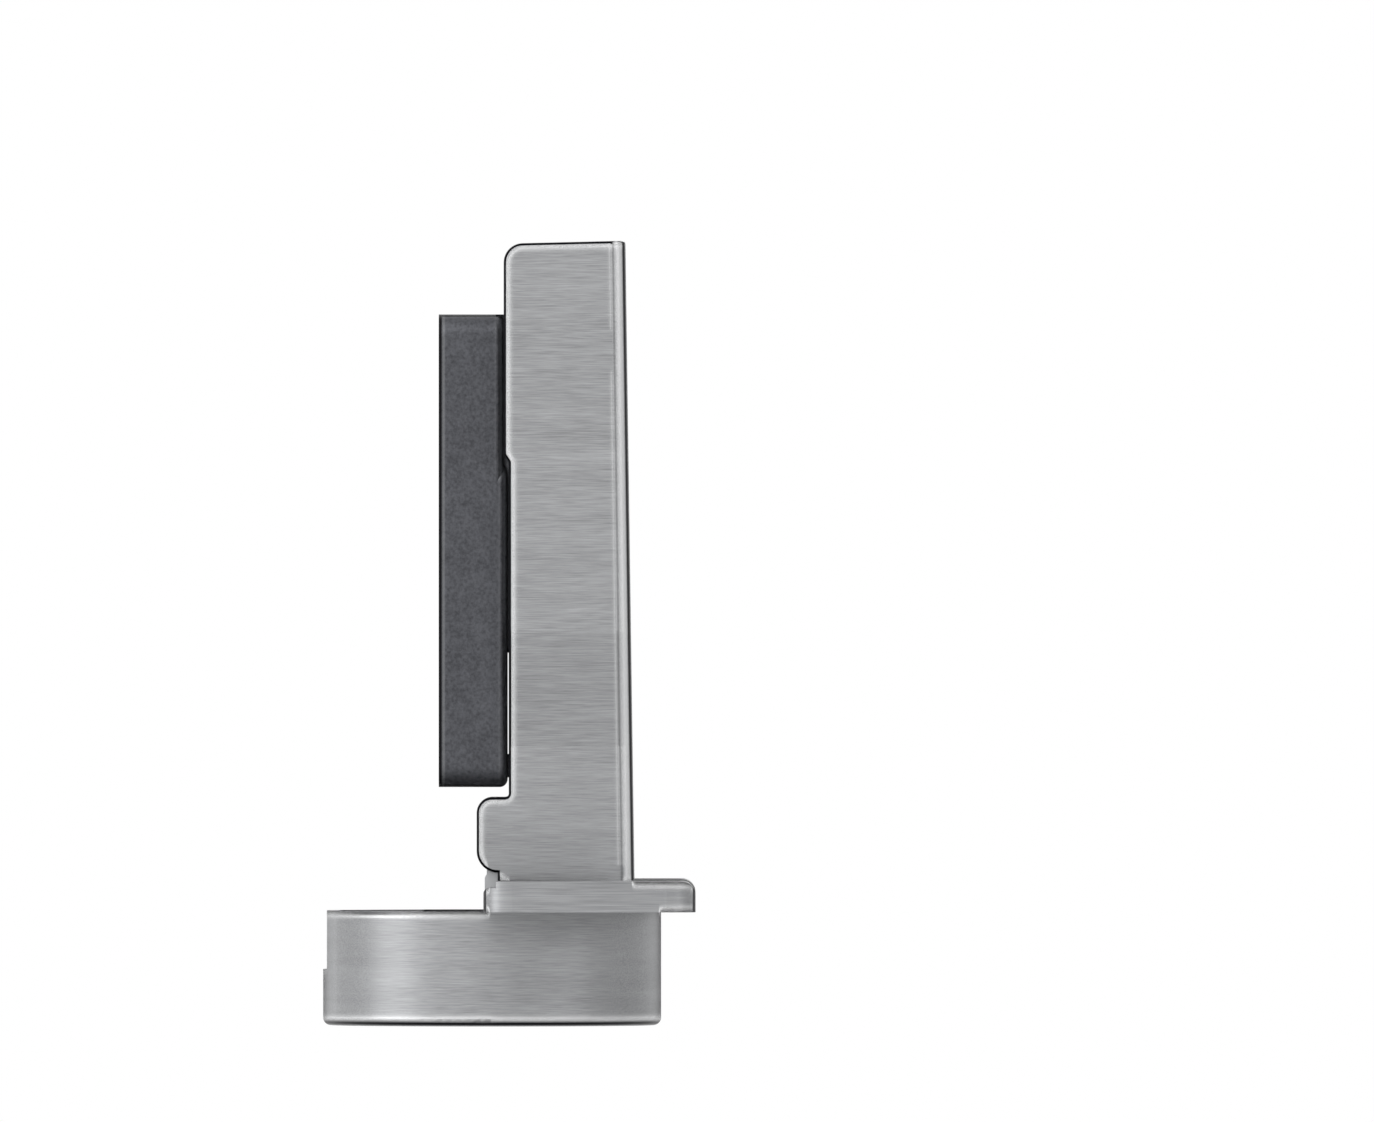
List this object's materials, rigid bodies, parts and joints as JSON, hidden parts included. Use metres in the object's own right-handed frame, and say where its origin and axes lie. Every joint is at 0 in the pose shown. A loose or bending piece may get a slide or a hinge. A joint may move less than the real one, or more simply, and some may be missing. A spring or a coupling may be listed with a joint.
{
  "type": "concealed cup hinge",
  "caption": "Concealed cabinet door hinge: a steel arm clipped on a cast mounting plate, joined by folding links to a 35 mm cup with screw wings and a soft-close damper.",
  "frame": {"origin": "midpoint of the mounting plate's two screw holes, on the face that lies on the cabinet side", "axes": "+X away from the cabinet side, +Z along the arm away from the door, +Y across the hinge; hinge closed"},
  "size_m": [0.0386, 0.058, 0.0812],
  "materials": {
    "brushed_arm": "brushed across the arm, satin",
    "brushed_cup": "brushed die-cast zinc, satin",
    "cast_plate": "dark grey, fine leather-like grain",
    "zinc_steel": "zinc-plated sheet",
    "lever_steel": "zinc-plated sheet",
    "link_steel": "zinc-plated sheet",
    "pin_steel": "bright drawn steel",
    "screw_steel": "nickel-plated",
    "spring_steel": "dark spring wire",
    "damper_plastic": "fine spark-eroded",
    "plunger_plastic": "smooth acetal",
    "switch_plastic": "moulded"
  },
  "bodies": {
    "plate_body": {"mounting_plate": "cast_plate", "clip_carrier": "zinc_steel", "lever_pin": "pin_steel", "lever_spring": "spring_steel"},
    "lever": {"release_lever": "lever_steel"},
    "slider": {"depth_slider": "zinc_steel"},
    "cam": {"depth_cam": "screw_steel"},
    "setting_screw": {"side_screw": "screw_steel"},
    "arm": {"hinge_arm": "brushed_arm", "tilt_pin": "pin_steel", "front_arm_pin": "pin_steel", "rear_arm_pin": "pin_steel"},
    "link_outer": {"outer_link": "link_steel"},
    "cup": {"hinge_cup": "brushed_cup", "outer_cup_pin": "pin_steel", "inner_cup_pin": "pin_steel", "closing_spring": "spring_steel", "damper_housing": "damper_plastic", "plunger_spring": "spring_steel"},
    "link_inner": {"inner_link": "link_steel"},
    "plunger": {"damper_plunger": "plunger_plastic"},
    "switch": {"damper_switch": "switch_plastic"}
  },
  "joints": [
    {"name": "lever_release", "type": "hinge", "parent": "plate_body", "child": "lever", "pos_m": [0.0115, 0, 0.0252], "axis": [0, 1, 0], "range_deg": [0, 13], "stiffness_Nm_per_rad": 0.04, "springref_deg": -11.46, "deforming": ["lever_spring"]},
    {"name": "depth_slide", "type": "slide", "parent": "plate_body", "child": "slider", "axis": [0, 0, 1], "range_m": [-0.002, 0.002]},
    {"name": "cam_turn", "type": "hinge", "parent": "plate_body", "child": "cam", "pos_m": [0.0133, 0, 0.008], "axis": [1, 0, 0], "range_deg": [-72.1, 72.1]},
    {"name": "arm_tilt", "type": "hinge", "parent": "slider", "child": "arm", "pos_m": [0.0159, 0, 0.0198], "axis": [0, 1, 0], "range_deg": [-2.2, 2.2]},
    {"name": "side_screw_turn", "type": "hinge", "parent": "slider", "child": "setting_screw", "pos_m": [0.0141, 0, -0.006], "axis": [1, 0, 0], "range_deg": [-360.5, 360.5]},
    {"name": "outer_link_swing", "type": "hinge", "parent": "arm", "child": "link_outer", "pos_m": [0.0074, 0, -0.0319], "axis": [0, 1, 0], "range_deg": [-41.24, 0]},
    {"name": "door_swing", "type": "hinge", "parent": "link_outer", "child": "cup", "pos_m": [-0.007, 0, -0.0432], "axis": [0, 1, 0], "range_deg": [0, 136.23], "stiffness_Nm_per_rad": 0.1, "springref_deg": -17.19, "deforming": ["closing_spring"]},
    {"name": "inner_link_swing", "type": "hinge", "parent": "cup", "child": "link_inner", "pos_m": [-0.0048, 0, -0.0461], "axis": [0, 1, 0], "range_deg": [-112.97, 0]},
    {"name": "plunger_slide", "type": "slide", "parent": "cup", "child": "plunger", "axis": [-1, 0, 0], "range_m": [0, 0.00341], "deforming": ["plunger_spring"]},
    {"name": "switch_slide", "type": "slide", "parent": "cup", "child": "switch", "axis": [0, 1, 0], "range_m": [-0.001, 0.001]}
  ],
  "couplings": [
    {"joint": "cam_turn", "follows": "depth_slide", "rad_per_m": 628.32},
    {"joint": "side_screw_turn", "follows": "arm_tilt", "ratio": 163.64},
    {"joint": "outer_link_swing", "follows": "door_swing", "ratio": -0.30265},
    {"joint": "inner_link_swing", "follows": "door_swing", "ratio": -0.82915},
    {"joint": "plunger_slide", "follows": "door_swing", "m_per_rad": 0.00143}
  ]
}
